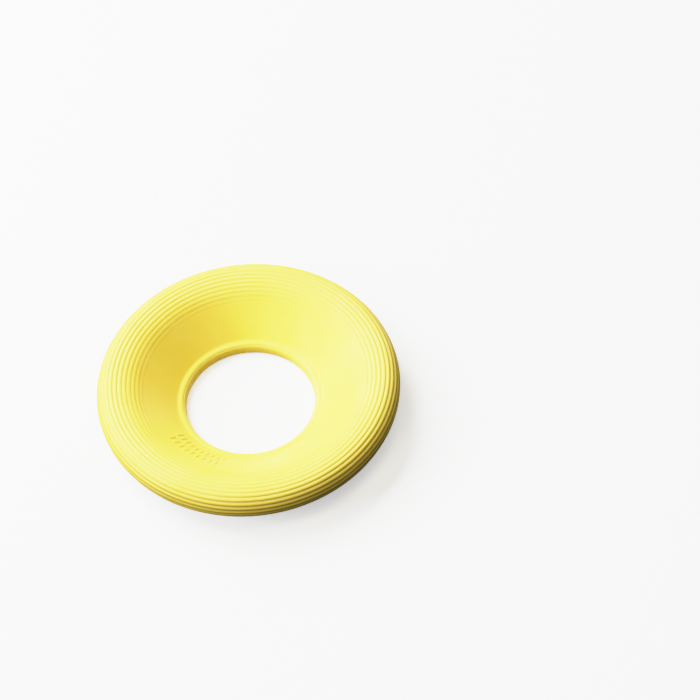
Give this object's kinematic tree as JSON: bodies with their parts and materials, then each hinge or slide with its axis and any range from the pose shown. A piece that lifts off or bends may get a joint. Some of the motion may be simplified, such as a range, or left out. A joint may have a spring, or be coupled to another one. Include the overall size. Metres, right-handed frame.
{
  "type": "flying ring",
  "caption": "Soft one-piece rubber throwing ring with a ribbed rolled rim, a smooth band sloping down to a collared centre hole, and an open underside.",
  "frame": {"origin": "centre of the foot plane, on the ring's axis, at the level of the collar's foot", "axes": "+Z along the ring's axis, up through the hole towards the ribbed side; +X and +Y across the ring, with the raised grip mark at 227 degrees from +X"},
  "size_m": [0.18, 0.18, 0.03],
  "materials": {
    "yellow_rubber": "satin, slightly waxy moulded surface"
  },
  "bodies": {
    "root": {"ring_body": "yellow_rubber"}
  },
  "joints": []
}
